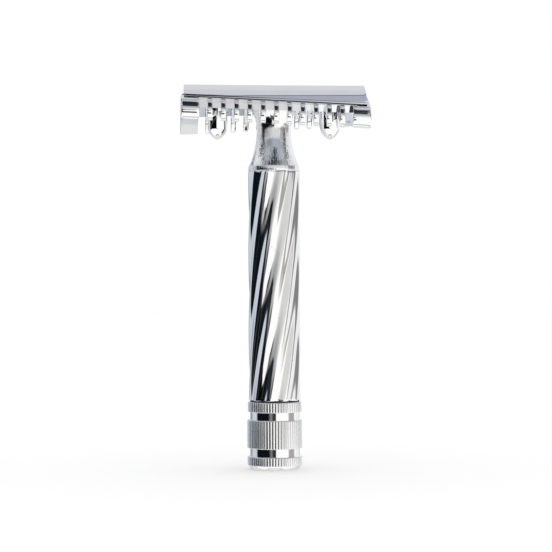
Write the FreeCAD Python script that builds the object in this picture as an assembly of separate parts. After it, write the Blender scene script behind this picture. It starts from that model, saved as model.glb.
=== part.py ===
import FreeCAD, Part
import math
import os

# Two-piece double-edge safety razor with a twisted (slant) open-comb head.
# +Z runs up the handle, X along the blade, and the origin is at the middle of the flat foot.
# Turning the knurled knob turns a spindle inside the handle, which screws the cap stud
# up and down through the guard.  All sizes are in millimetres.

# ---- Blade: the standard double-edge size that the head is built round ----
blade_length = 43.0
blade_width = 22.0
blade_thick = 0.10
blade_bend = 27.55          # radius that the head bends the blade to
blade_tab_width = 12.6
blade_tab_length = 2.95
blade_slot_width = 3.2
post_spacing = 26.3
blade_half_chord = blade_bend * math.sin(blade_width / 2 / blade_bend)  # half width, once bent

# ---- Head ----
head_twist = 0.27           # degrees of slant gained per millimetre along the head
blade_edge_drop = 0.7       # cutting edges below the twist axis
seat_gap = 0.08             # between the blade and the guard, and the blade and the cap
guard_overhang = 0.25       # guard beyond each end of the blade
guard_length = blade_length + 2 * guard_overhang
guard_depth = 2.4           # slab underside below the twist axis
slab_width = 14.0
lip_set_back = 0.11         # edge of the arched seat behind the cutting edge
comb_lip = 2 * (blade_half_chord - lip_set_back)
tooth_reach = 1.7           # teeth beyond the edge of the seat
comb_width = comb_lip + 2 * tooth_reach
comb_drop = 5.8             # tooth tips below the twist axis
comb_bulge = 2.8            # widest part of the teeth below the twist axis
tooth_set_back = 1.13       # tip of a tooth inside its widest part
tooth_foot = 0.8            # thickness of a tooth at its tip
tooth_heel_rise = 0.27      # inner corner of the tip above its outer corner
tooth_toe_drop = 0.07       # lowest point of the tip below its outer corner
tooth_hollow = 0.38         # how far the back of a tooth curves out and up
slots_per_side = 12
slot_pitch = 3.03
slot_width = 1.9
ear_arch = 1.5              # rise of the underside of the end bars
ear_corner = 0.6
cap_set_back = 0.5          # cap short of each end of the blade
cap_length = blade_length - 2 * cap_set_back
edge_show = 0.51            # how far the cutting edges stand out from under the cap
cap_width = 2 * (blade_half_chord - edge_show)
cap_thick = 2.3
cap_lip = 0.45
cap_draft = 0.08            # top of the lip inside its lower corner
cap_hole_roof = 0.9         # metal left over the blind holes in the cap

# ---- Cap stud (M5 x 0.8) and locating posts ----
stud_radius = 2.5
stud_length = 17.2
stud_tip = 0.5
stud_gap = 0.3
stud_hole = stud_radius + stud_gap
post_radius = 2.3
post_gap = 0.15
post_straight = 6.25        # straight part below the twist axis
post_point = 2.45
post_tip_radius = 0.35
post_nose_step = 0.62       # how far the nose has drawn in half way down it

# ---- Neck ----
collar_height = 1.2
collar_edge = 0.15
collar_step = 0.05          # collar inside the ridges of the tube
neck_length = 12.55
neck_root_radius = 5.8
neck_waist_radius = 4.0
neck_waist_height = 8.45
neck_flare_radius = 4.9
neck_gap = 0.15             # round the spindle
neck_head_length = 1.6      # spigot held in the guard
neck_head_radius = 4.2
neck_tail_length = 6.0      # spigot held in the tube
bush_length = 4.0

# ---- Handle tube: rounded flutes that wind up to the right ----
tube_length = 53.45
tube_radius = 6.05
tube_bore = 4.2
flute_count = 10
flute_depth = 0.58
flute_lead = 182.9          # height in which one flute would go once round
flute_start = 2.84          # degrees from +X to the first ridge at the bottom of the tube
flute_stations = 8          # outlines in each half of the tube
points_per_flute = 8

# ---- Spindle ----
run_gap = 0.05              # running clearance, all round
rod_radius = 1.75
rod_flat = 1.25             # drive flat, from the axis
rod_engage = 6.0            # length held in the socket
socket_radius = 3.3
socket_length = 23.2
socket_bore_depth = 12.0
socket_drop = 0.4           # socket top below the guard
socket_pin_radius = 0.6
lower_bush_length = 4.0
spring_height = 0.6
spring_thick = 0.25
spring_radius = 3.6
clip_radius = 3.4
clip_thick = 0.6
clip_groove = 1.35

# ---- Knob, its fixings and the foot ----
thrust_thick = 0.25
thrust_radius = 5.75
band_low = (2.1, 6.38)      # height and radius of each knurled band
groove_low = (1.9, 5.75)    # and of each plain groove
band_mid = (6.6, 6.43)
groove_top = (1.8, 5.75)
band_top = (2.4, 6.3)
band_edge = 0.2
knurl_count = 60
knurl_depth = 0.12
knob_floor = 6.6            # height of the web in the knob above its lower end
knob_web = 2.0
foot_height = 0.95
foot_radius = 6.0
foot_flat_radius = 4.6
foot_dome_radius = 5.58     # a point part of the way up the dome
foot_dome_height = 0.33
plug_radius = 3.6
plug_length = 3.0
screw_radius = 1.0
screw_length = 6.1
screw_head_radius = 2.6
screw_head_height = 1.6
screw_slot = 0.6
lock_thick = 0.5
lock_radius = 2.2
lock_gap = 0.5

# ---- Heights, worked out from the foot upwards ----
knob_height = sum(part[0] for part in (band_low, groove_low, band_mid, groove_top, band_top))
knob_z = foot_height
knob_top_z = knob_z + knob_height
thrust_z = knob_top_z + run_gap
tube_z = thrust_z + thrust_thick
tube_top_z = tube_z + tube_length
neck_z = tube_top_z + collar_height
guard_z = neck_z + neck_length
axis_z = guard_z + guard_depth          # the line that the head is twisted about
web_z = knob_z + knob_floor
rod_z = web_z + knob_web
socket_top_z = guard_z - socket_drop
socket_z = socket_top_z - socket_length
rod_top_z = socket_z + rod_engage
spring_z = tube_z + lower_bush_length
clip_z = spring_z + spring_height

# ---- Radii of the nested arcs, about one line below the twist axis, and other fits ----
arc_drop = blade_bend * math.cos(blade_width / 2 / blade_bend) + blade_edge_drop
neck_bore = socket_radius + neck_gap
collar_radius = tube_radius - collar_step
guard_arc = blade_bend - blade_thick / 2 - seat_gap
cap_arc = blade_bend + blade_thick / 2 + seat_gap
post_hole = post_radius + post_gap
cap_roof_z = axis_z - arc_drop + cap_arc + cap_thick - cap_hole_roof


def vertical(radius, low, high, x=0.0):
    """A round bar along Z at the distance x from the razor's axis."""
    return Part.makeCylinder(radius, high - low, FreeCAD.Vector(x, 0, low))


def ring(outer, inner, low, high):
    return vertical(outer, low, high).cut(vertical(inner, low - 1, high + 1))


def turned(edges):
    """Revolve a closed outline of edges in the XZ plane about the razor's axis."""
    face = Part.Face(Part.Wire(edges))
    return face.revolve(FreeCAD.Vector(0, 0, 0), FreeCAD.Vector(0, 0, 1), 360)


def point(radius, z):
    return FreeCAD.Vector(radius, 0, z)


def line(start, end):
    return Part.LineSegment(start, end).toShape()


def arc(start, middle, end):
    return Part.Arc(start, middle, end).toShape()


def outline(corners):
    """Straight edges from corner to corner and back to the first."""
    return [line(a, b) for a, b in zip(corners, corners[1:] + corners[:1])]


def box(x, y, z):
    """A block from three (low, high) pairs."""
    corner = FreeCAD.Vector(x[0], y[0], z[0])
    return Part.makeBox(x[1] - x[0], y[1] - y[0], z[1] - z[0], corner)


# ---- The twisted head ----

def slanted(x, y, h):
    """The point y across and h above the twist axis, turned by the slant at x."""
    angle = math.radians(head_twist * x)
    across = y * math.cos(angle) - h * math.sin(angle)
    up = y * math.sin(angle) + h * math.cos(angle)
    return FreeCAD.Vector(x, across, axis_z + up)


def arc_height(radius, y):
    """Height above the twist axis of a nested arc, y away from its middle."""
    return math.sqrt(radius * radius - y * y) - arc_drop


def slanted_arc(x, start, middle, end):
    return arc(slanted(x, *start), slanted(x, *middle), slanted(x, *end))


def slanted_line(x, start, end):
    return line(slanted(x, *start), slanted(x, *end))


def twisted(section, start, end, stations=7):
    """Loft the section, a function of x, from one end to the other."""
    step = (end - start) / (stations - 1)
    wires = [Part.Wire(section(start + step * i)) for i in range(stations)]
    return Part.makeLoft(wires, True, False)


def band_section(x, inner, outer, half):
    """A strip between two nested arcs."""
    low = (half, arc_height(inner, half))
    high = (half, arc_height(outer, half))
    return [
        slanted_arc(x, (-high[0], high[1]), (0, arc_height(outer, 0)), high),
        slanted_line(x, high, low),
        slanted_arc(x, low, (0, arc_height(inner, 0)), (-low[0], low[1])),
        slanted_line(x, (-low[0], low[1]), (-high[0], high[1])),
    ]


def cap_section(x):
    half = cap_width / 2
    rim = half - cap_draft
    low = arc_height(cap_arc, half)
    edge = low + cap_lip
    crown = arc_height(cap_arc, 0)
    return [
        slanted_arc(x, (-rim, edge), (0, crown + cap_thick), (rim, edge)),
        slanted_line(x, (rim, edge), (half, low)),
        slanted_arc(x, (half, low), (0, crown), (-half, low)),
        slanted_line(x, (-half, low), (-rim, edge)),
    ]


def tooth_front(x, side):
    """The rounded front of the teeth, from the lip down to the tip."""
    lip = comb_lip / 2
    tip = comb_width / 2 - tooth_set_back
    start = (side * lip, arc_height(guard_arc, lip))
    middle = (side * comb_width / 2, -comb_bulge)
    end = (side * tip, -comb_drop)
    return slanted_arc(x, start, middle, end), end


def comb_section(x):
    """The slab with its hooked teeth on both sides, before the slots are cut."""
    lip = comb_lip / 2
    top = arc_height(guard_arc, lip)
    edges = [slanted_arc(x, (-lip, top), (0, arc_height(guard_arc, 0)), (lip, top))]
    for side in (1, -1):
        front, tip = tooth_front(x, side)
        heel = (tip[0] - side * tooth_foot, tip[1] + tooth_heel_rise)
        toe = ((tip[0] + heel[0]) / 2, tip[1] - tooth_toe_drop)
        slab = (side * slab_width / 2, -guard_depth)
        hollow = ((heel[0] + slab[0]) / 2 + side * tooth_hollow,
                  (heel[1] + slab[1]) / 2 + tooth_hollow)
        edges += [front, slanted_arc(x, tip, toe, heel), slanted_arc(x, heel, hollow, slab)]
    slab = (slab_width / 2, -guard_depth)
    edges.append(slanted_line(x, slab, (-slab[0], slab[1])))
    return Part.__sortEdges__(edges)


def ear_section(x):
    """The closed bar at each end of the comb, with an arched underside."""
    lip = comb_lip / 2
    top = arc_height(guard_arc, lip)
    right, right_tip = tooth_front(x, 1)
    left, left_tip = tooth_front(x, -1)
    return Part.__sortEdges__([
        slanted_arc(x, (-lip, top), (0, arc_height(guard_arc, 0)), (lip, top)),
        right,
        slanted_arc(x, right_tip, (0, ear_arch - comb_drop), left_tip),
        left,
    ])


def rounded_end_blank():
    """A block as long as the guard whose lower outer corners are rounded, seen from the front."""
    half = guard_length / 2
    low = axis_z - comb_drop - ear_corner
    high = axis_z + comb_width
    blank = box((-half, half), (-comb_width, comb_width), (low, high))
    corners = [edge for edge in blank.Edges if is_lower_end_edge(edge, half, low)]
    return blank.makeFillet(2 * ear_corner, corners)


def is_lower_end_edge(edge, half, low):
    centre = edge.CenterOfMass
    return abs(abs(centre.x) - half) < 1e-6 and abs(centre.z - low) < 1e-6


def comb_slots():
    """The gaps between the teeth, from the slab outwards on both sides."""
    first = -(slots_per_side - 1) / 2 * slot_pitch
    height = (guard_z - comb_width, axis_z + comb_width)
    cutters = []
    for i in range(slots_per_side):
        middle = first + slot_pitch * i
        width = (middle - slot_width / 2, middle + slot_width / 2)
        for y in ((slab_width / 2, comb_width), (-comb_width, -slab_width / 2)):
            cutters.append(box(width, y, height))
    return cutters


def guard_plate():
    comb_end = (slots_per_side - 1) / 2 * slot_pitch + slot_width / 2
    half = guard_length / 2
    shape = twisted(comb_section, -comb_end, comb_end)
    shape = shape.fuse([twisted(ear_section, -half, -comb_end, 3),
                        twisted(ear_section, comb_end, half, 3)])
    shape = shape.common(rounded_end_blank())
    cutters = comb_slots()
    cutters.append(vertical(stud_hole, guard_z - 1, axis_z + comb_width))
    cutters.append(vertical(neck_head_radius, guard_z - 1, guard_z + neck_head_length))
    cutters.append(vertical(neck_flare_radius, guard_z - 1, guard_z))
    for x in (-post_spacing / 2, post_spacing / 2):
        cutters.append(vertical(post_hole, guard_z - 1, axis_z + comb_width, x))
    return shape.cut(cutters)


def blade():
    half = blade_length / 2
    inner = blade_bend - blade_thick / 2
    outer = blade_bend + blade_thick / 2
    shape = twisted(lambda x: band_section(x, inner, outer, blade_half_chord), -half, half)
    height = (axis_z - blade_width, axis_z + blade_width)
    notch = half - blade_tab_length
    cutters = []
    for x in ((notch, blade_length), (-blade_length, -notch)):
        for y in ((blade_tab_width / 2, blade_width), (-blade_width, -blade_tab_width / 2)):
            cutters.append(box(x, y, height))
    slot = blade_slot_width / 2
    cutters.append(box((-post_spacing / 2, post_spacing / 2), (-slot, slot), height))
    cutters.append(vertical(stud_hole, height[0], height[1]))
    for x in (-post_spacing / 2, post_spacing / 2):
        cutters.append(vertical(post_hole, height[0], height[1], x))
    return shape.cut(cutters)


def cap():
    shape = twisted(cap_section, -cap_length / 2, cap_length / 2)
    low = axis_z - comb_drop
    holes = [vertical(stud_radius, low, cap_roof_z)]
    for x in (-post_spacing / 2, post_spacing / 2):
        holes.append(vertical(post_radius, low, cap_roof_z, x))
    return shape.cut(holes)


def cap_stud():
    low = cap_roof_z - stud_length
    return turned(outline([
        point(0, low),
        point(stud_radius - stud_tip, low),
        point(stud_radius, low + stud_tip),
        point(stud_radius, cap_roof_z),
        point(0, cap_roof_z),
    ]))


def locating_post(x):
    """A straight post with a bullet point, held in a blind hole in the cap."""
    shoulder = axis_z - post_straight
    tip = shoulder - post_point
    nose = arc(point(post_radius, shoulder),
               point(post_radius - post_nose_step, shoulder - post_point / 2),
               point(post_tip_radius, tip))
    post = turned([
        nose,
        line(point(post_tip_radius, tip), point(0, tip)),
        line(point(0, tip), point(0, cap_roof_z)),
        line(point(0, cap_roof_z), point(post_radius, cap_roof_z)),
        line(point(post_radius, cap_roof_z), point(post_radius, shoulder)),
    ])
    post.translate(FreeCAD.Vector(x, 0, 0))
    return post


# ---- The neck and the handle ----

def waist_arc(end_radius, end_z, waist_z):
    """An arc that leaves the waist straight up or down and ends at the given radius."""
    rise = end_z - waist_z
    flare = end_radius - neck_waist_radius
    radius = (rise * rise + flare * flare) / (2 * flare)
    half_way = waist_z + rise / 2
    middle = neck_waist_radius + radius - math.sqrt(radius * radius - rise * rise / 4)
    return arc(point(neck_waist_radius, waist_z), point(middle, half_way),
               point(end_radius, end_z))


def neck():
    waist_z = neck_z + neck_waist_height
    tail_z = tube_top_z - neck_tail_length
    top_z = guard_z + neck_head_length
    rim = collar_radius - collar_edge
    return turned([
        line(point(neck_bore, tail_z), point(tube_bore, tail_z)),
        line(point(tube_bore, tail_z), point(tube_bore, tube_top_z)),
        line(point(tube_bore, tube_top_z), point(rim, tube_top_z)),
        line(point(rim, tube_top_z), point(collar_radius, tube_top_z + collar_edge)),
        line(point(collar_radius, tube_top_z + collar_edge),
             point(collar_radius, neck_z - collar_edge)),
        line(point(collar_radius, neck_z - collar_edge), point(neck_root_radius, neck_z)),
        waist_arc(neck_root_radius, neck_z, waist_z),
        waist_arc(neck_flare_radius, guard_z, waist_z),
        line(point(neck_flare_radius, guard_z), point(neck_head_radius, guard_z)),
        line(point(neck_head_radius, guard_z), point(neck_head_radius, top_z)),
        line(point(neck_head_radius, top_z), point(neck_bore, top_z)),
        line(point(neck_bore, top_z), point(neck_bore, tail_z)),
    ])


def neck_bush():
    high = tube_top_z - neck_tail_length
    return ring(tube_bore, socket_radius + run_gap, high - bush_length, high)


def flute_wire(z):
    """The wavy outline of the tube at the height z, turned by the winding of the flutes."""
    turn = 2 * math.pi * (z - tube_z) / flute_lead + math.radians(flute_start)
    count = flute_count * points_per_flute
    points = []
    for i in range(count):
        angle = 2 * math.pi * i / count
        radius = tube_radius - flute_depth * (1 - math.cos(flute_count * angle)) / 2
        points.append(FreeCAD.Vector(radius * math.cos(angle + turn),
                                     radius * math.sin(angle + turn), z))
    curve = Part.BSplineCurve()
    curve.interpolate(points, PeriodicFlag=True)
    return Part.Wire([curve.toShape()])


def fluted_length(low, high):
    step = (high - low) / (flute_stations - 1)
    wires = [flute_wire(low + step * i) for i in range(flute_stations)]
    return Part.makeLoft(wires, True, False)


def handle_tube():
    middle = tube_z + tube_length / 2
    tube = fluted_length(tube_z, middle).fuse(fluted_length(middle, tube_top_z))
    return tube.cut(vertical(tube_bore, tube_z - 1, tube_top_z + 1))


def lower_bush():
    return ring(tube_bore, rod_radius + run_gap, tube_z, spring_z)


def spring_washer():
    """A dished spring washer, its rim on the bush and its inner edge under the clip."""
    inner = rod_radius + run_gap
    return turned(outline([
        point(inner, clip_z - spring_thick),
        point(spring_radius, spring_z),
        point(spring_radius, spring_z + spring_thick),
        point(inner, clip_z),
    ]))


def thrust_washer():
    return ring(thrust_radius, rod_radius + run_gap, thrust_z, tube_z)


# ---- The spindle ----

def spindle_socket():
    """The tapped end of the spindle, which the cap stud screws into."""
    shape = vertical(socket_radius, socket_z, socket_top_z)
    return shape.cut([
        vertical(stud_radius + run_gap, socket_top_z - socket_bore_depth, socket_top_z + 1),
        vertical(rod_radius, socket_z - 1, rod_top_z),
        cross_bar(socket_pin_radius, socket_radius),
    ])


def cross_bar(radius, reach):
    """A round bar along X through the joint of the socket and the rod."""
    middle = socket_z + rod_engage / 2
    return Part.makeCylinder(radius, 2 * reach, FreeCAD.Vector(-reach, 0, middle),
                             FreeCAD.Vector(1, 0, 0))


def socket_pin():
    """The pin is as long as the socket is wide, and rounded to it."""
    pin = cross_bar(socket_pin_radius, socket_radius)
    return pin.common(vertical(socket_radius, socket_z, rod_top_z))


def drive_end():
    """The lower end of the rod, with a flat so that the knob can't slip round it."""
    end = vertical(rod_radius, rod_z, knob_top_z)
    waste = box((-rod_radius, rod_radius), (-2 * rod_radius, -rod_flat), (rod_z, knob_top_z))
    return end.cut(waste)


def spindle_rod():
    shape = vertical(rod_radius, knob_top_z, rod_top_z).fuse(drive_end())
    groove = ring(rod_radius + 1, clip_groove, clip_z, clip_z + clip_thick)
    tapping = vertical(screw_radius, rod_z - 1, web_z + screw_length)
    return shape.cut([groove, tapping, cross_bar(socket_pin_radius, socket_radius)])


def retaining_clip():
    """An open clip that snaps into the groove of the rod from one side."""
    clip = ring(clip_radius, clip_groove, clip_z, clip_z + clip_thick)
    mouth = box((-clip_groove, clip_groove), (0, 2 * clip_radius),
                (clip_z - 1, clip_z + clip_thick + 1))
    return clip.cut(mouth)


# ---- The knob ----

def knurl_blank():
    """A prism with V grooves all round, as tall as the knob."""
    radius = max(band_low[1], band_mid[1], band_top[1])
    corners = []
    for i in range(knurl_count):
        for offset, depth in ((0.0, 0.0), (0.5, knurl_depth)):
            angle = 2 * math.pi * (i + offset) / knurl_count
            reach = radius - depth
            corners.append(FreeCAD.Vector(reach * math.cos(angle),
                                          reach * math.sin(angle), knob_z))
    face = Part.Face(Part.Wire(outline(corners)))
    return face.extrude(FreeCAD.Vector(0, 0, knob_height))


def knob_profile():
    """The bands and grooves up the side of the knob."""
    corners = [point(0, knob_z)]
    z = knob_z
    for part in (band_low, groove_low, band_mid, groove_top, band_top):
        height, radius = part
        edge = band_edge if part in (band_low, band_mid, band_top) else 0
        corners.append(point(radius - edge, z))
        if edge:
            corners.append(point(radius, z + edge))
            corners.append(point(radius, z + height - edge))
        corners.append(point(radius - edge, z + height))
        z += height
    corners.append(point(0, z))
    return corners


def knob():
    shape = turned(outline(knob_profile())).common(knurl_blank())
    return shape.cut([
        vertical(plug_radius, knob_z - 1, web_z),
        vertical(screw_radius, web_z - 1, rod_z + 1),
        drive_end(),
    ])


def lock_washer():
    low = web_z - lock_thick
    washer = ring(lock_radius, screw_radius, low, web_z)
    return washer.cut(box((0, 2 * lock_radius), (-lock_gap / 2, lock_gap / 2),
                          (low - 1, web_z + 1)))


def knob_screw():
    """A slotted screw that holds the knob to the rod, put in from below."""
    seat = web_z - lock_thick
    low = seat - screw_head_height
    head = vertical(screw_head_radius, low, seat)
    shank = vertical(screw_radius, seat, web_z + screw_length)
    slot = box((-2 * screw_head_radius, 2 * screw_head_radius),
               (-screw_slot / 2, screw_slot / 2), (low - 1, low + screw_head_height / 2))
    return head.fuse(shank).cut(slot)


def foot_plug():
    """The smooth domed foot that closes the knob and that the razor stands on."""
    dome = arc(point(foot_flat_radius, 0), point(foot_dome_radius, foot_dome_height),
               point(foot_radius, foot_height))
    top = knob_z + plug_length
    return turned([
        line(point(0, 0), point(foot_flat_radius, 0)),
        dome,
        line(point(foot_radius, foot_height), point(plug_radius, foot_height)),
        line(point(plug_radius, foot_height), point(plug_radius, top)),
        line(point(plug_radius, top), point(0, top)),
        line(point(0, top), point(0, 0)),
    ])


pieces = {
    "cap": cap,
    "cap_stud": cap_stud,
    "locating_post_left": lambda: locating_post(-post_spacing / 2),
    "locating_post_right": lambda: locating_post(post_spacing / 2),
    "blade": blade,
    "guard_plate": guard_plate,
    "neck": neck,
    "neck_bush": neck_bush,
    "handle_tube": handle_tube,
    "lower_bush": lower_bush,
    "spring_washer": spring_washer,
    "thrust_washer": thrust_washer,
    "spindle_socket": spindle_socket,
    "socket_pin": socket_pin,
    "spindle_rod": spindle_rod,
    "retaining_clip": retaining_clip,
    "knob": knob,
    "knob_screw": knob_screw,
    "lock_washer": lock_washer,
    "foot_plug": foot_plug,
}

os.makedirs("parts", exist_ok=True)
for name, make in pieces.items():
    shape = make()
    print(name, len(shape.Solids), shape.isValid(), round(shape.Volume, 2))
    shape.exportStep("parts/" + name + ".step")
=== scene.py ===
import math
import bmesh
import bpy
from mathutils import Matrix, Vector


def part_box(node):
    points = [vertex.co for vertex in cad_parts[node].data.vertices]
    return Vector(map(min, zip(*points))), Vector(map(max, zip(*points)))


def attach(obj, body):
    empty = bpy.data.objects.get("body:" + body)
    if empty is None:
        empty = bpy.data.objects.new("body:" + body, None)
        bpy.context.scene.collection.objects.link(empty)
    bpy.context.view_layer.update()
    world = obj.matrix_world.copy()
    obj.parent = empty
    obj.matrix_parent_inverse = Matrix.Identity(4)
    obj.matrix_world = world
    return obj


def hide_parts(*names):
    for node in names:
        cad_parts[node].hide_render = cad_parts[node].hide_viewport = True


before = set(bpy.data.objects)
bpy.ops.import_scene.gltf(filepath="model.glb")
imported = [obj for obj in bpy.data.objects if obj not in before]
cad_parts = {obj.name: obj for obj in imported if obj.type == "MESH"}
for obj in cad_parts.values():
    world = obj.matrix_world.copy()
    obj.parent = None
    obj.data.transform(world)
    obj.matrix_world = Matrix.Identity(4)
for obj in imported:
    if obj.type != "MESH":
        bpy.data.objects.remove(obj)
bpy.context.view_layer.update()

# A chrome slant-head safety razor.  Sizes below are in millimetres; heights start at the
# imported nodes, so that every piece lies where its CAD node lies.
MM = 0.001


def low_z(node):
    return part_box(node)[0].z / MM


def high_z(node):
    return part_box(node)[1].z / MM


# ---- Head ----
HEAD_TWIST = 0.27           # degrees per millimetre along X
BLADE_BEND = 27.55          # radius of the bent blade
BLADE_WIDTH = 22.0
BLADE_EDGE_DROP = 0.7
BLADE_THICK = 0.10
SEAT_GAP = 0.08
GUARD_DEPTH = 2.4
SLAB_HALF = 7.0             # half the width of the guard's solid middle
COMB_HALF = 12.3            # how far the teeth stand out from the axis of the twist
COMB_DROP = 5.8             # and how far they hang below it
COMB_LIP = 10.6
COMB_BULGE = 2.8
TOOTH_SET_BACK = 1.13
TOOTH_FOOT = 0.8
TOOTH_HEEL_RISE = 0.27
TOOTH_TOE_DROP = 0.07
TOOTH_HOLLOW = 0.38
SLOTS = 12
SLOT_PITCH = 3.03
SLOT_WIDTH = 1.9
EAR_ARCH = 1.5              # how far the underside of the end bars arches up
EAR_ROUND = 0.4
TOOTH_ROUND = 0.12
CAP_HALF = 10.2
CAP_THICK = 2.3
CAP_LIP = 0.45
CAP_DRAFT = 0.08
CAP_ROUND = 0.08
POST_X = 13.15
POST_RADIUS = 2.3
POST_HOLE = 2.45            # radius
POST_NOSE = 2.45            # height of the bullet point
POST_TIP = 0.35             # radius at which the point is blunted
POST_FULLNESS = 0.62        # how far the point has drawn in at half its height
POST_DOME = ((0.05, -0.02), (0.2, -0.005))          # (radius, height) over the blunted tip
STUD_RADIUS = 2.5
STUD_HOLE = 2.8             # radius
STUD_LEAD = 0.6             # length of the chamfer at the end of the stud
STUD_CHAMFER = 0.45
THREAD_PITCH = 0.8
THREAD_DEPTH = 0.42
THREAD_FLANK = 0.42         # half the width of the notch, as a share of the pitch

# ---- Neck, tube, knob and foot ----
COLLAR_RADIUS = 6.0
COLLAR_HEIGHT = 1.2
COLLAR_ROUND = 0.16
COLLAR_LEDGE = 0.3          # the collar's top runs in under the neck by this
NECK_ROOT = 5.8
NECK_WAIST = 4.0
NECK_WAIST_HEIGHT = 8.45
NECK_FLARE = 4.9
NECK_INSET = 0.5            # inside the guard the neck narrows by this
NECK_ENTRY = 0.4            # and ends at this height
NECK_SPIGOT = 1.6           # length of the solid neck's spigot inside the guard
TUBE_RADIUS = 6.05
TUBE_BORE = 4.2
TUBE_ROUND = 0.12
FLUTES = 10
FLUTE_DEPTH = 0.58
FLUTE_LEAD = 182.9          # height of one whole turn of a flute
FLUTE_START = 2.84          # degrees from +X to the first ridge at the foot of the tube
KNURLS = 60
KNURL_DEPTH = 0.12
KNOB_BORE = 4.0
KNOB_TOP_HOLE = 2.0
BAND_ROUND = 0.25
# The bands of the knob, bottom to top: height, radius, whether it is knurled.
BANDS = ((2.1, 6.38, True), (1.9, 5.75, False), (6.6, 6.43, True), (1.8, 5.75, False),
         (2.4, 6.3, True))
FOOT_HEIGHT = 0.95
# The foot, from its flat outwards: radii on the floor, then (radius, height) of its dome.
FOOT_FLAT = (0.5, 2.5, 4.4)
FOOT_DOME = ((4.6, 0), (5.58, 0.33), (6.0, FOOT_HEIGHT))
FOOT_SEAT = (5.0, FOOT_HEIGHT + 0.15)

# ---- Fineness of the meshes ----
SHARP = 35.0                # degrees beyond which an edge is shown sharp
KNURL_SHARP = 50.0
LOFT_STEP = 0.7             # along the head
SLOT_STEP = 0.5
TOOTH_STEP = 0.4
CAP_STEPS = 72
HOLLOW_STEPS = 10           # the four stretches of a tooth's outline
HEEL_STEPS = 6
BULGE_STEPS = 20
LIP_STEPS = 8
FLAT_STEPS = 24             # across the slab, above and below
EAR_STEPS = 200
END_STEPS = 4               # over a quarter-round edge
TUBE_END_STEPS = 3
CORNER_STEPS = 5
BAR_STEPS = 96
POST_STEPS = 128
NOSE_STEPS = 24
STUD_STEPS = 64
THREAD_ROWS = 12            # for each turn of the thread
NECK_LOWER_STEPS = 40
NECK_UPPER_STEPS = 28
NECK_STEPS = 256
FLUTE_STEPS = 18            # round each flute
TUBE_STEP = 0.45            # along the tube
KNURL_STEPS = 10            # round each ridge
DOME_STEPS = 24
PLUG_STEPS = 256

GUARD_Z = high_z("neck") - NECK_SPIGOT          # the underside of the guard
AXIS_Z = GUARD_Z + GUARD_DEPTH
ARC_DROP = BLADE_BEND * math.cos(BLADE_WIDTH / 2 / BLADE_BEND) + BLADE_EDGE_DROP
GUARD_ARC = BLADE_BEND - BLADE_THICK / 2 - SEAT_GAP
CAP_ARC = BLADE_BEND + BLADE_THICK / 2 + SEAT_GAP
SLAB_CORNER = (SLAB_HALF, -GUARD_DEPTH)
COMB_TIP = (COMB_HALF - TOOTH_SET_BACK, -COMB_DROP)


# ---- Mesh helpers ----

def mesh_object(name, rows, sharp=SHARP):
    """A closed skin through rows of points, each row a closed ring, in millimetres."""
    bm = bmesh.new()
    rings = [[bm.verts.new(Vector(p) * MM) for p in row] for row in rows]
    count = len(rings[0])
    for lower, upper in zip(rings, rings[1:]):
        for i in range(count):
            j = (i + 1) % count
            bm.faces.new((lower[i], lower[j], upper[j], upper[i]))
    bm.faces.new(rings[0][::-1])
    bm.faces.new(rings[-1])
    bmesh.ops.remove_doubles(bm, verts=bm.verts, dist=1e-7)
    bmesh.ops.dissolve_degenerate(bm, edges=bm.edges, dist=1e-7)
    bmesh.ops.recalc_face_normals(bm, faces=bm.faces)
    mesh = bpy.data.meshes.new(name)
    bm.to_mesh(mesh)
    bm.free()
    smooth(mesh, sharp)
    piece = bpy.data.objects.new(name, mesh)
    bpy.context.scene.collection.objects.link(piece)
    return piece


def smooth(mesh, sharp):
    for face in mesh.polygons:
        face.use_smooth = True
    mesh.set_sharp_from_angle(angle=math.radians(sharp))


def even_normals(piece):
    """Lets large faces rule the shading, so that flats stay flat beside small rounded edges."""
    modifier = piece.modifiers.new("even normals", "WEIGHTED_NORMAL")
    modifier.keep_sharp = True
    modifier.weight = 50


def cut(piece, cutters):
    """Takes round bars out of a piece for good."""
    for cutter in cutters:
        modifier = piece.modifiers.new("cut", "BOOLEAN")
        modifier.operation = "DIFFERENCE"
        modifier.solver = "EXACT"
        modifier.object = cutter
    depsgraph = bpy.context.evaluated_depsgraph_get()
    mesh = bpy.data.meshes.new_from_object(piece.evaluated_get(depsgraph))
    piece.modifiers.clear()
    piece.data = mesh
    smooth(mesh, SHARP)
    for cutter in cutters:
        bpy.data.objects.remove(cutter)


def circle(radius, z, steps, x=0.0):
    return [(x + radius * math.cos(2 * math.pi * i / steps),
             radius * math.sin(2 * math.pi * i / steps), z) for i in range(steps)]


def bar(radius, low, high, x=0.0):
    return mesh_object("cutter", [circle(radius, z, BAR_STEPS, x) for z in (low, high)])


def turned(name, profile, steps, x=0.0):
    """Turns a profile of (radius, z) points, bottom to top, about the upright line at x."""
    return mesh_object(name, [circle(radius, z, steps, x) for radius, z in profile])


def arc_through(start, middle, end, steps):
    """Points of the circular arc through three points of a plane."""
    (ax, ay), (bx, by), (cx, cy) = start, middle, end
    d = 2 * (ax * (by - cy) + bx * (cy - ay) + cx * (ay - by))
    ux = ((ax * ax + ay * ay) * (by - cy) + (bx * bx + by * by) * (cy - ay)
          + (cx * cx + cy * cy) * (ay - by)) / d
    uy = ((ax * ax + ay * ay) * (cx - bx) + (bx * bx + by * by) * (ax - cx)
          + (cx * cx + cy * cy) * (bx - ax)) / d
    radius = math.hypot(ax - ux, ay - uy)
    first = math.atan2(ay - uy, ax - ux)
    half = math.atan2(by - uy, bx - ux)
    last = math.atan2(cy - uy, cx - ux)
    turn = 2 * math.pi
    sweep = (last - first) % turn
    if (half - first) % turn > sweep:
        sweep -= turn
    return [(ux + radius * math.cos(first + sweep * i / steps),
             uy + radius * math.sin(first + sweep * i / steps)) for i in range(steps + 1)]


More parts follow.
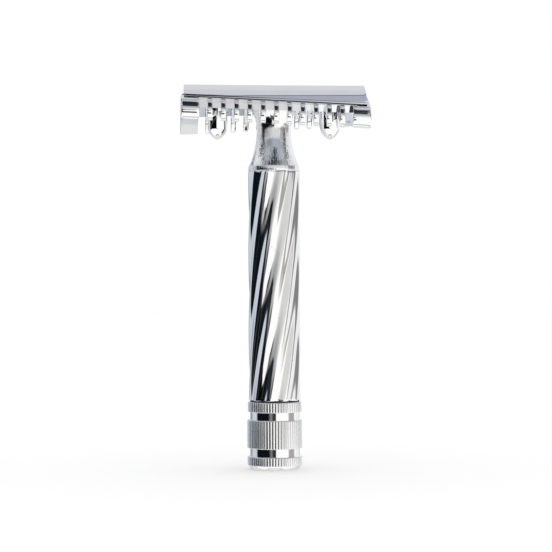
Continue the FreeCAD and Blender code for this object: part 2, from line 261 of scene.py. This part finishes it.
def straight(start, end, steps):
    return [(start[0] + (end[0] - start[0]) * i / steps,
             start[1] + (end[1] - start[1]) * i / steps) for i in range(steps + 1)]


def rounded(corners, radius):
    """Rounds each inner corner of an open path by the same small radius."""
    path = [corners[0]]
    for before, corner, after in zip(corners, corners[1:], corners[2:]):
        a = Vector(before) - Vector(corner)
        b = Vector(after) - Vector(corner)
        reach = min(radius, a.length * 0.45, b.length * 0.45)
        p = Vector(corner) + a.normalized() * reach
        q = Vector(corner) + b.normalized() * reach
        for i in range(CORNER_STEPS + 1):
            t = i / CORNER_STEPS
            point = p * (1 - t) ** 2 + Vector(corner) * 2 * t * (1 - t) + q * t * t
            path.append((point.x, point.y))
    path.append(corners[-1])
    return path


# ---- The twisted head ----

def slanted(x, y, h):
    """The point y across and h above the twist axis, turned by the slant at x."""
    angle = math.radians(HEAD_TWIST * x)
    across = y * math.cos(angle) - h * math.sin(angle)
    up = y * math.sin(angle) + h * math.cos(angle)
    return (x, across, AXIS_Z + up)


def arc_height(radius, y):
    return math.sqrt(radius * radius - y * y) - ARC_DROP


def nested_arc(radius, start, end, steps):
    ys = [start + (end - start) * i / steps for i in range(steps + 1)]
    return [(y, arc_height(radius, y)) for y in ys]


def inset(outline, depth, reach=None):
    """Moves the points of a closed outline inwards; reach gives each point's share of it."""
    count = len(outline)
    moved = []
    for i, point in enumerate(outline):
        before = Vector(outline[i - 1])
        after = Vector(outline[(i + 1) % count])
        along = (after - before).normalized()
        share = depth if reach is None else depth * reach[i]
        moved.append((point[0] - along.y * share, point[1] + along.x * share))
    return moved


def end_rounding(radius, steps=END_STEPS):
    """(distance from the end, inset) pairs of a quarter-round edge."""
    quarter = math.pi / 2
    return [(radius * (1 - math.cos(quarter * i / steps)),
             radius * (1 - math.sin(quarter * i / steps))) for i in range(steps + 1)]


def span(start, end, step):
    count = max(1, math.ceil((end - start) / step))
    return [start + (end - start) * i / count for i in range(count + 1)]


def slanted_row(x, outline):
    return [slanted(x, y, h) for y, h in outline]


def rounded_loft(name, outline, start, end, radius):
    """A twisted bar of constant outline whose two end edges are rounded."""
    rounding = end_rounding(radius)
    rows = [slanted_row(start + d, inset(outline, depth)) for d, depth in rounding]
    rows += [slanted_row(x, outline) for x in span(start + radius, end - radius, LOFT_STEP)[1:-1]]
    rows += [slanted_row(end - d, inset(outline, depth)) for d, depth in reversed(rounding)]
    return mesh_object(name, rows)


def cap_outline():
    """The arched section of the cap, anticlockwise, with flat lips that lean in at the top."""
    low = arc_height(CAP_ARC, CAP_HALF)
    rim = (CAP_HALF - CAP_DRAFT, low + CAP_LIP)
    top = arc_height(CAP_ARC, 0) + CAP_THICK
    under = nested_arc(CAP_ARC, -CAP_HALF + CAP_LIP, CAP_HALF - CAP_LIP, CAP_STEPS)
    over = arc_through(rim, (0, top), (-rim[0], rim[1]), CAP_STEPS)
    right = rounded([under[-1], (CAP_HALF, low), rim, over[1]], CAP_ROUND)
    left = [(-y, h) for y, h in reversed(right)]
    return under[:-1] + right + over[2:-2] + left[:-1]


def make_cap():
    low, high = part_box("cap")
    piece = rounded_loft("cap_shell", cap_outline(), low.x / MM, high.x / MM, CAP_ROUND)
    even_normals(piece)
    return piece


def comb_front():
    """The last part of a tooth's or an ear's outline: from its tip round the bulge to the lip,
    then up the top of the guard to the slab."""
    lip = (COMB_LIP, arc_height(GUARD_ARC, COMB_LIP))
    path = arc_through(COMB_TIP, (COMB_HALF, -COMB_BULGE), lip, BULGE_STEPS)[1:]
    return path + nested_arc(GUARD_ARC, COMB_LIP, SLAB_HALF, LIP_STEPS)[1:]


def wall_side():
    """Right-hand part of the guard's outline between two teeth: straight up the slab's wall."""
    top = (SLAB_HALF, arc_height(GUARD_ARC, SLAB_HALF))
    steps = HOLLOW_STEPS + HEEL_STEPS + BULGE_STEPS + LIP_STEPS
    return straight(SLAB_CORNER, top, steps)


def tooth_side():
    """The same number of points from the slab's lower corner round a tooth."""
    heel = (COMB_TIP[0] - TOOTH_FOOT, COMB_TIP[1] + TOOTH_HEEL_RISE)
    toe = ((COMB_TIP[0] + heel[0]) / 2, COMB_TIP[1] - TOOTH_TOE_DROP)
    hollow = ((heel[0] + SLAB_CORNER[0]) / 2 + TOOTH_HOLLOW,
              (heel[1] + SLAB_CORNER[1]) / 2 + TOOTH_HOLLOW)
    path = arc_through(SLAB_CORNER, hollow, heel, HOLLOW_STEPS)
    path += arc_through(heel, toe, COMB_TIP, HEEL_STEPS)[1:]
    return path + comb_front()


def ear_side():
    """The same number of points round the end bar, whose underside is arched."""
    path = [point for point in ear_under() if point[0] >= SLAB_HALF]
    return resample(path, HOLLOW_STEPS + HEEL_STEPS) + comb_front()


def ear_under():
    left = (-COMB_TIP[0], COMB_TIP[1])
    return arc_through(left, (0, EAR_ARCH - COMB_DROP), COMB_TIP, EAR_STEPS)


def resample(path, steps):
    picks = [round((len(path) - 1) * i / steps) for i in range(steps + 1)]
    return [path[i] for i in picks]


def guard_outline(kind):
    """The whole outline of the guard, anticlockwise from its lower left: tooth, wall or ear."""
    if kind == "ear":
        right = ear_side()
        under = [point for point in ear_under() if abs(point[0]) <= SLAB_HALF]
        floor = resample([(-right[0][0], right[0][1])] + under[1:-1] + [right[0]], FLAT_STEPS)
    else:
        right = tooth_side() if kind == "tooth" else wall_side()
        floor = straight((-SLAB_HALF, -GUARD_DEPTH), SLAB_CORNER, FLAT_STEPS)
    roof = nested_arc(GUARD_ARC, SLAB_HALF, -SLAB_HALF, FLAT_STEPS)
    left = [(-y, h) for y, h in reversed(right)]
    return floor[:-1] + right[:-1] + roof[:-1] + left[:-1]


def tooth_share(outline):
    """How much of an inset each point takes: none on the slab, all of it away from it."""
    return [max(0.0, min(1.0, (abs(y) - SLAB_HALF) / TOOTH_FOOT)) for y, _ in outline]


def make_guard():
    low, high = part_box("guard_plate")
    start, end = low.x / MM, high.x / MM
    tooth, wall, ear = (guard_outline(kind) for kind in ("tooth", "wall", "ear"))
    tooth_reach = tooth_share(tooth)
    ear_rounding = end_rounding(EAR_ROUND)
    tooth_rounding = end_rounding(TOOTH_ROUND)
    comb_end = (SLOTS - 1) / 2 * SLOT_PITCH + SLOT_WIDTH / 2
    rows = [slanted_row(start + d, inset(ear, depth)) for d, depth in ear_rounding]
    rows += [slanted_row(x, ear)
             for x in span(start + EAR_ROUND, -comb_end - TOOTH_ROUND, LOFT_STEP)]
    rows += [slanted_row(-comb_end - d, inset(ear, depth))
             for d, depth in reversed(tooth_rounding)]
    for i in range(SLOTS):
        middle = (i - (SLOTS - 1) / 2) * SLOT_PITCH
        for x in span(middle - SLOT_WIDTH / 2, middle + SLOT_WIDTH / 2, SLOT_STEP):
            rows.append(slanted_row(x, wall))
        if i == SLOTS - 1:
            break
        first = middle + SLOT_WIDTH / 2
        last = first + SLOT_PITCH - SLOT_WIDTH
        rows += [slanted_row(first + d, inset(tooth, depth, tooth_reach))
                 for d, depth in tooth_rounding]
        rows += [slanted_row(x, tooth)
                 for x in span(first + TOOTH_ROUND, last - TOOTH_ROUND, TOOTH_STEP)[1:-1]]
        rows += [slanted_row(last - d, inset(tooth, depth, tooth_reach))
                 for d, depth in reversed(tooth_rounding)]
    rows += [slanted_row(comb_end + d, inset(ear, depth)) for d, depth in tooth_rounding]
    rows += [slanted_row(x, ear)
             for x in span(comb_end + TOOTH_ROUND, end - EAR_ROUND, LOFT_STEP)]
    rows += [slanted_row(end - d, inset(ear, depth)) for d, depth in reversed(ear_rounding)]
    piece = mesh_object("comb_guard", rows)
    base, top = GUARD_Z - 1, AXIS_Z + COMB_HALF
    cut(piece, [bar(STUD_HOLE, base, top)]
        + [bar(POST_HOLE, base, top, x) for x in (-POST_X, POST_X)])
    even_normals(piece)
    return piece


def make_post(name, node, x):
    low, high = low_z(node), high_z(node)
    nose = arc_through((POST_TIP, low), (POST_RADIUS - POST_FULLNESS, low + POST_NOSE / 2),
                       (POST_RADIUS, low + POST_NOSE), NOSE_STEPS)
    dome = [(radius, low + z) for radius, z in POST_DOME]
    return turned(name, dome + nose + [(POST_RADIUS, high)], POST_STEPS, x)


def make_stud():
    """The cap stud with its M5 thread: a notch winds down a round bar with a chamfered end."""
    low, high = low_z("cap_stud"), high_z("cap_stud")
    rows = []
    for z in span(low, high, THREAD_PITCH / THREAD_ROWS):
        taper = min(1.0, (z - low) / STUD_LEAD)
        row = []
        for i in range(STUD_STEPS):
            angle = 2 * math.pi * i / STUD_STEPS
            phase = ((z - low) / THREAD_PITCH - i / STUD_STEPS) % 1.0
            notch = max(0.0, 1 - abs(phase - 0.5) / THREAD_FLANK)
            radius = STUD_RADIUS - STUD_CHAMFER * (1 - taper) - THREAD_DEPTH * notch * taper
            row.append((radius * math.cos(angle), radius * math.sin(angle), z))
        rows.append(row)
    return mesh_object("threaded_stud", rows)


# ---- Neck, tube, knob and foot ----

def waist_arc(end_radius, end_z, waist_z, steps):
    """The arc that leaves the waist upright and reaches the given end."""
    rise = end_z - waist_z
    flare = end_radius - NECK_WAIST
    radius = (rise * rise + flare * flare) / (2 * flare)
    middle = NECK_WAIST + radius - math.sqrt(radius * radius - rise * rise / 4)
    return arc_through((NECK_WAIST, waist_z), (middle, waist_z + rise / 2),
                       (end_radius, end_z), steps)


def make_neck():
    base = high_z("handle_tube")
    neck_z = base + COLLAR_HEIGHT
    waist_z = neck_z + NECK_WAIST_HEIGHT
    collar = rounded([(TUBE_BORE, base), (COLLAR_RADIUS, base), (COLLAR_RADIUS, neck_z),
                      (NECK_ROOT - COLLAR_LEDGE, neck_z)], COLLAR_ROUND)
    lower = waist_arc(NECK_ROOT, neck_z, waist_z, NECK_LOWER_STEPS)[::-1]
    upper = waist_arc(NECK_FLARE, GUARD_Z, waist_z, NECK_UPPER_STEPS)[1:]
    top = (NECK_FLARE - NECK_INSET, GUARD_Z + NECK_ENTRY)
    return turned("waisted_neck", collar[:-1] + lower + upper + [top], NECK_STEPS)


def make_tube():
    low, high = low_z("handle_tube"), high_z("handle_tube")
    steps = FLUTES * FLUTE_STEPS
    rows = [circle(TUBE_BORE, low, steps)]
    ends = end_rounding(TUBE_ROUND, TUBE_END_STEPS)
    levels = [(low + d, depth) for d, depth in ends]
    levels += [(z, 0.0) for z in span(low + TUBE_ROUND, high - TUBE_ROUND, TUBE_STEP)[1:-1]]
    levels += [(high - d, depth) for d, depth in reversed(ends)]
    for z, depth in levels:
        turn = 2 * math.pi * (z - low) / FLUTE_LEAD + math.radians(FLUTE_START)
        row = []
        for i in range(steps):
            angle = 2 * math.pi * i / steps
            wave = (1 - math.cos(FLUTES * angle)) / 2
            radius = TUBE_RADIUS - FLUTE_DEPTH * wave - depth
            row.append((radius * math.cos(angle + turn), radius * math.sin(angle + turn), z))
        rows.append(row)
    rows.append(circle(TUBE_BORE, high, steps))
    return mesh_object("fluted_tube", rows)


def plain_row(radius, z):
    return circle(radius, z, KNURLS * KNURL_STEPS)


def knurl_row(radius, z, limit):
    """A ring of rounded ridges, cut off where it would stand out beyond the limit."""
    steps = KNURLS * KNURL_STEPS
    row = []
    for i in range(steps):
        angle = 2 * math.pi * i / steps
        groove = KNURL_DEPTH * (1 - math.cos(KNURLS * angle)) / 2
        reach = min(radius - groove, limit)
        row.append((reach * math.cos(angle), reach * math.sin(angle), z))
    return row


def make_knob():
    z = low_z("knob")
    rows = [plain_row(KNOB_BORE, z)]
    rounding = end_rounding(BAND_ROUND)
    for height, radius, knurled in BANDS:
        if knurled:
            rows += [knurl_row(radius, z + d, radius - depth) for d, depth in rounding]
            rows += [knurl_row(radius, z + height - d, radius - depth)
                     for d, depth in reversed(rounding)]
        else:
            rows += [plain_row(radius, z), plain_row(radius, z + height)]
        z += height
    rows.append(plain_row(KNOB_TOP_HOLE, z))
    return mesh_object("banded_knob", rows, KNURL_SHARP)


def make_foot():
    flat = [(radius, 0.0) for radius in FOOT_FLAT]
    profile = flat + arc_through(*FOOT_DOME, DOME_STEPS) + [FOOT_SEAT]
    return turned("domed_foot", profile, PLUG_STEPS)


# ---- Materials ----

CLOUD_SCALE = 260.0         # scales are in patches of noise for each metre
CLOUD_DETAIL = 3.0
MARK_DETAIL = 4.0
TONE_FROM, TONE_TO = 0.36, 0.6          # noise at which a metal is at its dullest and brightest
GLOSS_FROM, GLOSS_TO = 0.35, 0.65       # and at which it is smoothest and roughest
SMOOTHEST, ROUGHEST = 0.6, 1.5          # as shares of the roughness asked for
PIT_SCALE = 1700.0
PIT_FROM, PIT_TO = 0.73, 0.79           # noise at which a pit begins and is full
PIT_SHARE = 0.45
PIT_COLOUR = (0.18, 0.15, 0.14, 1)
RIDGE_EDGE = 0.1            # millimetres over which the knurling grows duller


def number(nodes, links, operation, *values):
    """A maths node whose inputs are sockets or plain numbers."""
    node = nodes.new("ShaderNodeMath")
    node.operation = operation
    for socket, value in zip(node.inputs, values):
        if isinstance(value, (int, float)):
            socket.default_value = value
        else:
            links.new(value, socket)
    return node.outputs["Value"]


def scaled(nodes, links, value, low, high, to_low, to_high):
    """Maps low to to_low and high to to_high, and goes no further."""
    node = nodes.new("ShaderNodeMapRange")
    links.new(value, node.inputs["Value"])
    node.inputs["From Min"].default_value = low
    node.inputs["From Max"].default_value = high
    node.inputs["To Min"].default_value = to_low
    node.inputs["To Max"].default_value = to_high
    return node.outputs["Result"]


def noise(nodes, links, place, scale, detail):
    node = nodes.new("ShaderNodeTexNoise")
    node.inputs["Scale"].default_value = scale
    node.inputs["Detail"].default_value = detail
    links.new(place, node.inputs["Vector"])
    return node.outputs["Fac"]


def two_tone(nodes, links, value, dull, bright):
    ramp = nodes.new("ShaderNodeValToRGB")
    first, last = ramp.color_ramp.elements
    first.position, first.color = TONE_FROM, (*dull, 1)
    last.position, last.color = TONE_TO, (*bright, 1)
    links.new(value, ramp.inputs["Fac"])
    return ramp.outputs["Color"]


def wound_back(nodes, links, place, height, winding):
    """Undoes the winding of the flutes, so that marks along Z follow them."""
    turn = nodes.new("ShaderNodeVectorRotate")
    turn.rotation_type = "Z_AXIS"
    links.new(place, turn.inputs["Vector"])
    links.new(number(nodes, links, "MULTIPLY", height, -winding), turn.inputs["Angle"])
    return turn.outputs["Vector"]


def pitted(nodes, links, place, colour):
    """Small brown pits in the plating."""
    spots = noise(nodes, links, place, PIT_SCALE, 1.0)
    mix = nodes.new("ShaderNodeMix")
    mix.data_type = "RGBA"
    links.new(scaled(nodes, links, spots, PIT_FROM, PIT_TO, 0.0, PIT_SHARE), mix.inputs["Factor"])
    links.new(colour, mix.inputs["A"])
    mix.inputs["B"].default_value = PIT_COLOUR
    return mix.outputs["Result"]


def beyond(nodes, links, split, radius, extra):
    """The given value outside a radius in millimetres round Z, and 0 inside it."""
    sideways = nodes.new("ShaderNodeCombineXYZ")
    links.new(split.outputs["X"], sideways.inputs["X"])
    links.new(split.outputs["Y"], sideways.inputs["Y"])
    length = nodes.new("ShaderNodeVectorMath")
    length.operation = "LENGTH"
    links.new(sideways.outputs["Vector"], length.inputs[0])
    return scaled(nodes, links, length.outputs["Value"], radius * MM, (radius + RIDGE_EDGE) * MM,
                  0.0, extra)


def finish(name, dull, bright, roughness, scale, stretch=(1, 1, 1), winding=0.0, ripple=0.0,
           fade=None, metallic=1.0, pits=False, duller=None):
    """A worked surface: tool marks at the given scale, drawn out along the direction in which
    stretch is small and wound round Z by winding, in radians for each metre, over larger cloudy
    patches.  ripple is the depth of the marks in millimetres; fade is the height at which it
    begins to lessen, the height at which it is least, and the share that is left; duller is a
    radius beyond which the surface is rougher, and by how much."""
    material = bpy.data.materials.new(name)
    material.use_nodes = True
    nodes, links = material.node_tree.nodes, material.node_tree.links
    shader = nodes["Principled BSDF"]
    shader.inputs["Metallic"].default_value = metallic
    place = nodes.new("ShaderNodeTexCoord").outputs["Object"]
    split = nodes.new("ShaderNodeSeparateXYZ")
    links.new(place, split.inputs["Vector"])
    along = place
    if winding:
        along = wound_back(nodes, links, place, split.outputs["Z"], winding)
    drawn = nodes.new("ShaderNodeVectorMath")
    drawn.operation = "MULTIPLY"
    drawn.inputs[1].default_value = stretch
    links.new(along, drawn.inputs[0])
    marks = noise(nodes, links, drawn.outputs["Vector"], scale, MARK_DETAIL)
    cloud = noise(nodes, links, place, CLOUD_SCALE, CLOUD_DETAIL)
    patches = number(nodes, links, "MULTIPLY_ADD", marks, 0.5,
                     number(nodes, links, "MULTIPLY", cloud, 0.5))
    colour = two_tone(nodes, links, patches, dull, bright)
    if pits:
        colour = pitted(nodes, links, place, colour)
    links.new(colour, shader.inputs["Base Color"])
    gloss = scaled(nodes, links, patches, GLOSS_FROM, GLOSS_TO,
                   roughness * SMOOTHEST, roughness * ROUGHEST)
    if duller:
        gloss = number(nodes, links, "ADD", gloss, beyond(nodes, links, split, *duller))
    links.new(gloss, shader.inputs["Roughness"])
    if ripple:
        bump = nodes.new("ShaderNodeBump")
        bump.inputs["Distance"].default_value = ripple * MM
        if fade:
            start, end, least = fade
            depth = scaled(nodes, links, split.outputs["Z"], start * MM, end * MM, 1.0, least)
            links.new(depth, bump.inputs["Strength"])
        links.new(marks, bump.inputs["Height"])
        links.new(bump.outputs["Normal"], shader.inputs["Normal"])
    return material


def dress(piece, material, body, node):
    piece.data.materials.clear()
    piece.data.materials.append(material)
    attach(piece, body)
    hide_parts(node)


CHROME_DULL = (0.885, 0.893, 0.91)
CHROME = (0.935, 0.94, 0.95)
# Stretches: the marks are drawn out along the axis where the number is small.
ALONG_TUBE = (1, 1, 0.012)
ALONG_NECK = (1, 1, 0.03)
ALONG_BLADE = (0.02, 1, 1)
TURNED = (0.03, 0.03, 1)
COLLAR_Z = high_z("handle_tube") + COLLAR_HEIGHT
NECK_FADE = (COLLAR_Z, COLLAR_Z + 9.0, 0.5)
GROOVE_RADIUS = 5.85        # the plain grooves of the knob lie inside it, the knurling outside

polished = finish("polished chrome", CHROME_DULL, CHROME, 0.03, 2500.0, ripple=0.0004)
cast = finish("chrome over a cast comb", CHROME_DULL, CHROME, 0.05, 3200.0, ripple=0.0025)
wound = finish("chrome over milled flutes", CHROME_DULL, CHROME, 0.04, 2600.0,
               stretch=ALONG_TUBE, winding=2 * math.pi / (FLUTE_LEAD * MM), ripple=0.012, pits=True)
drawn_neck = finish("chrome over a linished neck", CHROME_DULL, CHROME, 0.045, 2000.0,
                    stretch=ALONG_NECK, ripple=0.12, fade=NECK_FADE)
knurled = finish("chrome over knurling", CHROME_DULL, CHROME, 0.04, 3600.0, ripple=0.003,
                 duller=(GROOVE_RADIUS, 0.2))

pieces = (
    (make_cap(), polished, "cap", "cap"),
    (make_stud(), polished, "cap", "cap_stud"),
    (make_post("post_left", "locating_post_left", -POST_X), polished, "cap",
     "locating_post_left"),
    (make_post("post_right", "locating_post_right", POST_X), polished, "cap",
     "locating_post_right"),
    (make_guard(), cast, "handle", "guard_plate"),
    (make_neck(), drawn_neck, "handle", "neck"),
    (make_tube(), wound, "handle", "handle_tube"),
    (make_knob(), knurled, "knob", "knob"),
    (make_foot(), polished, "knob", "foot_plug"),
)
for piece, material, body, node in pieces:
    dress(piece, material, body, node)

# Nodes kept as they are: the blade and the works inside the handle.
steel = finish("turned steel", (0.42, 0.43, 0.45), (0.58, 0.59, 0.61), 0.22, 3000.0,
               stretch=TURNED, ripple=0.004)
inner = {
    "blade": finish("ground blade steel", (0.50, 0.52, 0.55), (0.68, 0.70, 0.73), 0.16, 3500.0,
                    stretch=ALONG_BLADE, ripple=0.003),
    "neck_bush": finish("turned brass", (0.62, 0.43, 0.16), (0.80, 0.60, 0.27), 0.2, 3000.0,
                        stretch=TURNED, ripple=0.004),
    "spring_washer": finish("blued spring steel", (0.10, 0.12, 0.17), (0.24, 0.27, 0.33), 0.3,
                            1500.0, ripple=0.003),
    "thrust_washer": finish("black nylon", (0.012, 0.012, 0.013), (0.03, 0.03, 0.032), 0.5,
                            2200.0, ripple=0.008, metallic=0.0),
}
inner["lower_bush"] = inner["neck_bush"]
inner["retaining_clip"] = inner["lock_washer"] = inner["spring_washer"]
for node in ("spindle_socket", "socket_pin", "spindle_rod", "knob_screw"):
    inner[node] = steel
for node, material in inner.items():
    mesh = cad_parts[node].data
    mesh.materials.clear()
    mesh.materials.append(material)


# ---- Floor, world and camera ----

CAMERA_BEARING = math.radians(-3.2)     # from straight in front, + to the razor's right
CAMERA_ROLL = math.radians(0.2)
CAMERA_DISTANCE = 0.480                 # in metres, as all lengths of this section
CAMERA_AIM = Vector((0.0004, 0, 0.04505))
LENS = 134.0                            # in millimetres, as the sensor's width
SENSOR = 36.0
FLOOR_SIZE = 4.0
FLOOR_GLOW = 0.035          # seen by the camera alone, so that the floor is as white as the sky
TENT_WHITE = (1.08, 1.07, 1.045, 1)
ROOF_START, ROOF_SOFT = 0.74, 0.08      # the roof begins where a ray points up by this share
GLOSSY_BOUNCES = 10                     # for the hollows of the comb and the cap


def make_floor():
    bpy.ops.mesh.primitive_plane_add(size=FLOOR_SIZE, location=(0, 0, 0))
    floor = bpy.context.object
    floor.name = "floor"
    material = bpy.data.materials.new("pale floor")
    material.use_nodes = True
    nodes, links = material.node_tree.nodes, material.node_tree.links
    shader = nodes["Principled BSDF"]
    shader.inputs["Base Color"].default_value = (1.0, 1.0, 1.0, 1)
    shader.inputs["Roughness"].default_value = 1.0
    seen = nodes.new("ShaderNodeLightPath").outputs["Is Camera Ray"]
    glow = number(nodes, links, "MULTIPLY", seen, FLOOR_GLOW)
    links.new(glow, shader.inputs["Emission Strength"])
    shader.inputs["Emission Color"].default_value = (1, 1, 1, 1)
    floor.data.materials.append(material)
    floor.visible_glossy = False


def make_camera():
    data = bpy.data.cameras.new("camera")
    data.lens = LENS
    data.sensor_width = SENSOR
    data.clip_start = 0.01
    data.clip_end = 20.0
    camera = bpy.data.objects.new("camera", data)
    away = Vector((math.sin(CAMERA_BEARING), -math.cos(CAMERA_BEARING), 0))
    camera.location = CAMERA_AIM + away * CAMERA_DISTANCE
    camera.rotation_euler = (math.pi / 2, CAMERA_ROLL, CAMERA_BEARING)
    bpy.context.scene.collection.objects.link(camera)
    bpy.context.scene.camera = camera


def edge(nodes, links, value, place, soft):
    """Rises smoothly from 0 to 1 across the given place."""
    node = nodes.new("ShaderNodeMapRange")
    node.interpolation_type = "SMOOTHSTEP"
    links.new(value, node.inputs["Value"])
    node.inputs["From Min"].default_value = place - soft / 2
    node.inputs["From Max"].default_value = place + soft / 2
    return node.outputs["Result"]


def window(nodes, links, value, low, high, soft, high_value=None):
    """1 between low and high; None leaves that side open.  high_value, where it is given, is
    what is set against high."""
    rise = 1.0 if low is None else edge(nodes, links, value, low, soft)
    if high is None:
        return rise
    fall = edge(nodes, links, high_value or value, high, soft)
    return number(nodes, links, "SUBTRACT", rise, fall)


def laid_over(nodes, links, under, share, shade, name):
    """Mixes a plain colour over what is there so far."""
    mix = nodes.new("ShaderNodeMix")
    mix.data_type = "RGBA"
    mix.label = name
    links.new(share, mix.inputs["Factor"])
    if under is None:
        mix.inputs["A"].default_value = TENT_WHITE
    else:
        links.new(under, mix.inputs["A"])
    mix.inputs["B"].default_value = (*shade, 1)
    return mix.outputs["Result"]


# What the chrome mirrors: the walls, cards and gaps of the photographer's light tent.
# Bearings are degrees from the camera, + to its right, and heights degrees above the horizon;
# None leaves a side open, and each pair of soft widths is for the upright and the level edges.
# Later ones lie over earlier ones.
TENT = (
    # name, bearing from, to, height from, to, soft, colour
    ("front wall, upper", -100, 52, 1, 14, (24, 7), (0.72, 0.715, 0.695)),
    ("front wall, upper left", -100, -26, -4, 14, (50, 7), (0.38, 0.385, 0.38)),
    ("front wall, high", -100, 64, 14, 42, (10, 8), (0.42, 0.45, 0.49)),
    ("front wall, high left", -100, -12, 17, 26, (14, 6), (0.26, 0.285, 0.31)),
    ("front wall, top", -100, 64, 41, 74, (10, 6), (0.16, 0.18, 0.21)),
    ("front wall, overhead", -100, 100, 74, None, (8, 6), (0.60, 0.62, 0.65)),
    ("black board above", -70, 24, 47, 77, (8, 6), (0.02, 0.02, 0.025)),
    ("black board above, low part", -10, 17, 29, 50, (4, 4), (0.025, 0.028, 0.03)),
    ("wall behind, right", 112, None, None, None, (12, 8), (0.93, 0.93, 0.95)),
    ("right wall, high", 60, 140, 26, 74, (12, 8), (0.56, 0.60, 0.66)),
    ("right-hand card, upper", 62, 109, 0, 30, (14, 5), (0.25, 0.24, 0.235)),
    ("right-hand card, high", 42, 109, 11, 26, (10, 6), (0.20, 0.215, 0.23)),
    ("right-hand card", 68, 103, -8, 0, (10, 5), (0.42, 0.40, 0.385)),
    ("black doorway, upper", -100, -56, 4, 14, (6, 3), (0.006, 0.008, 0.010)),
    ("beside the doorway", -46, -5, -9, 1.5, (14, 5), (0.21, 0.21, 0.205)),
    ("doorway's foot", -100, -8, -27, -9, (6, 3), (0.003, 0.004, 0.005)),
    ("camera", -11, 6, -8, -2, (4, 3), (0.035, 0.035, 0.03)),
    ("table's front edge", -20, 8.5, -33, -19, (3, 4), (0.11, 0.115, 0.115)),
    ("table seam", -120, 120, -78, -70, (5, 5), (0.35, 0.36, 0.37)),
)
# The same, with their right edges leaning by so many degrees per degree of height.
LEANING = (
    ("black doorway", -100, -38, -10, 5, (14, 3), (0.004, 0.006, 0.009), -3.4),
    ("haze in the doorway", -100, -57, 0, 9, (10, 5), (0.019, 0.023, 0.029), 0),
    ("wall behind, left", None, -90, None, None, (10, 8), (0.62, 0.66, 0.72), 0.4),
)
# Behind the razor, on both sides alike: name, degrees from straight behind, height from, to,
# soft, colour.
BEHIND = (
    ("wall behind", 30, 10, None, (12, 12), (0.70, 0.705, 0.735)),
    ("wall behind, high", 50, 50, None, (12, 12), (0.64, 0.655, 0.70)),
    ("table behind", 60, None, -13, (12, 5), (0.64, 0.66, 0.68)),
    ("near table behind", 60, None, -27, (12, 8), (0.80, 0.81, 0.77)),
    ("shade behind", 25, -13, -3, (8, 5), (0.36, 0.41, 0.49)),
)
# Dark stands behind and to the left, with the fields of TENT.
STANDS = (
    ("stand", -152, -130, -6, 1, (14, 4), (0.28, 0.30, 0.34)),
    ("stand, high", -146, -112, 15, 60, (12, 8), (0.05, 0.06, 0.08)),
)
# Bands across the roof of the tent: name, from, to (0 overhead, + away from the camera), soft,
# how much they lean back towards the right, colour.
ROOF = (
    ("roof", -0.10, 0.275, 0.03, 1.0, (0.41, 0.435, 0.50)),
    ("roof seam", 0.26, 0.30, 0.02, 1.0, (0.14, 0.15, 0.18)),
)


def mirrored_tent(nodes, links):
    """The colour of the tent in the direction that a mirrored ray takes."""
    place = nodes.new("ShaderNodeTexCoord")
    turn = nodes.new("ShaderNodeVectorRotate")
    turn.rotation_type = "Z_AXIS"
    turn.inputs["Angle"].default_value = -CAMERA_BEARING
    links.new(place.outputs["Generated"], turn.inputs["Vector"])
    split = nodes.new("ShaderNodeSeparateXYZ")
    links.new(turn.outputs["Vector"], split.inputs["Vector"])
    front = number(nodes, links, "MULTIPLY", split.outputs["Y"], -1.0)
    bearing = number(nodes, links, "ARCTAN2", split.outputs["X"], front)
    bearing = number(nodes, links, "DEGREES", bearing)
    height = number(nodes, links, "ARCSINE", split.outputs["Z"])
    height = number(nodes, links, "DEGREES", height)
    off_back = number(nodes, links, "SUBTRACT", 180.0, number(nodes, links, "ABSOLUTE", bearing))
    colour = None
    upright = [(card, None) for card in TENT] + [(card[:-1], card[-1]) for card in LEANING]
    upright += [(card, None) for card in STANDS]
    for (name, left, right, bottom, top, soft, shade), lean in upright:
        leaning = bearing
        if lean:
            leaning = number(nodes, links, "MULTIPLY_ADD", height, -lean, bearing)
        across = window(nodes, links, bearing, left, right, soft[0], leaning)
        share = across
        if bottom is not None or top is not None:
            upward = window(nodes, links, height, bottom, top, soft[1])
            share = number(nodes, links, "MULTIPLY", across, upward)
        share = number(nodes, links, "MAXIMUM", share, 0.0)
        colour = laid_over(nodes, links, colour, share, shade, name)
    for name, reach, bottom, top, soft, shade in BEHIND:
        across = window(nodes, links, off_back, None, reach, soft[0])
        upward = window(nodes, links, height, bottom, top, soft[1])
        share = number(nodes, links, "MULTIPLY", across, upward)
        colour = laid_over(nodes, links, colour, share, shade, name)
    above = edge(nodes, links, split.outputs["Z"], ROOF_START, ROOF_SOFT)
    for name, near, far, soft, lean, shade in ROOF:
        back = number(nodes, links, "MULTIPLY_ADD", split.outputs["X"], -lean, split.outputs["Y"])
        band = window(nodes, links, back, near, far, soft)
        share = number(nodes, links, "MULTIPLY", band, above)
        colour = laid_over(nodes, links, colour, share, shade, name)
    return colour


def make_world():
    """Plain white to the camera and to the floor; the chrome mirrors the tent."""
    world = bpy.data.worlds.new("studio")
    world.use_nodes = True
    nodes, links = world.node_tree.nodes, world.node_tree.links
    rays = nodes.new("ShaderNodeLightPath")
    mirrored = number(nodes, links, "MAXIMUM", rays.outputs["Is Glossy Ray"],
                      rays.outputs["Is Transmission Ray"])
    choose = nodes.new("ShaderNodeMix")
    choose.data_type = "RGBA"
    links.new(mirrored, choose.inputs["Factor"])
    choose.inputs["A"].default_value = (1, 1, 1, 1)
    links.new(mirrored_tent(nodes, links), choose.inputs["B"])
    links.new(choose.outputs["Result"], nodes["Background"].inputs["Color"])
    bpy.context.scene.world = world


make_floor()
make_camera()
make_world()
bpy.context.scene.view_settings.view_transform = "Standard"
bpy.context.scene.cycles.glossy_bounces = GLOSSY_BOUNCES
